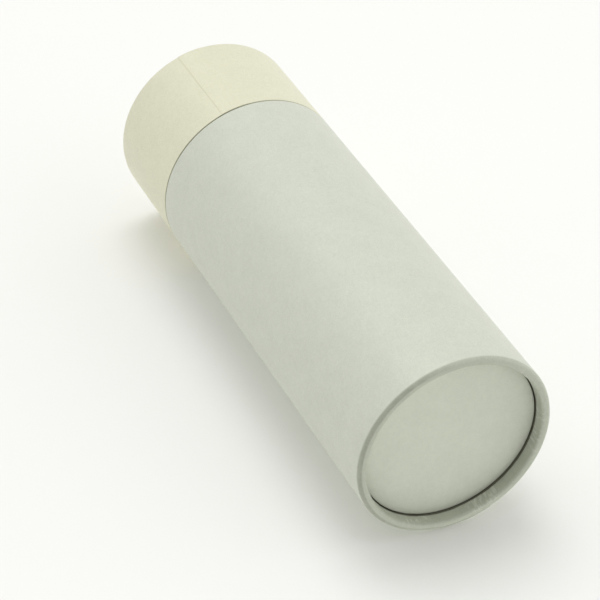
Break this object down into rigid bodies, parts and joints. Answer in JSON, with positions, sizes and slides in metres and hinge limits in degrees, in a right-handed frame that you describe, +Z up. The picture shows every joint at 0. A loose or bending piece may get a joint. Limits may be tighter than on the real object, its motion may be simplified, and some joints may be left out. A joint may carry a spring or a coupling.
{
  "type": "round paper tea box",
  "caption": "Round upright paper tube box for loose tea, wrapped in pearl paper, with a recessed base and a flush cream lid that lifts off an inner neck.",
  "frame": {"origin": "middle of the base rim, on the plane that the box stands on", "axes": "+Z up the tube's axis from the base rim to the lid's top rim; -Y is the side that faces up when the box lies as pictured; the lid's overlap seam is at -X, -Y"},
  "size_m": [0.068, 0.068, 0.2018],
  "materials": {
    "grey_pearl_paper": "pearlescent paper with a soft sheen",
    "cream_pearl_paper": "pearlescent paper with a soft sheen",
    "tube_board": "matt rolled grey board",
    "neck_board": "matt white-lined board"
  },
  "bodies": {
    "body": {"body_tube": "tube_board", "body_wrap": "grey_pearl_paper", "base_disc": "tube_board", "base_facing": "grey_pearl_paper", "neck_tube": "neck_board"},
    "lid": {"lid_tube": "tube_board", "lid_wrap": "cream_pearl_paper", "lid_disc": "tube_board", "lid_facing": "cream_pearl_paper"}
  },
  "joints": [
    {"name": "lid_lift", "type": "slide", "parent": "body", "child": "lid", "axis": [0, 0, 1], "range_m": [0, 0.08]}
  ]
}
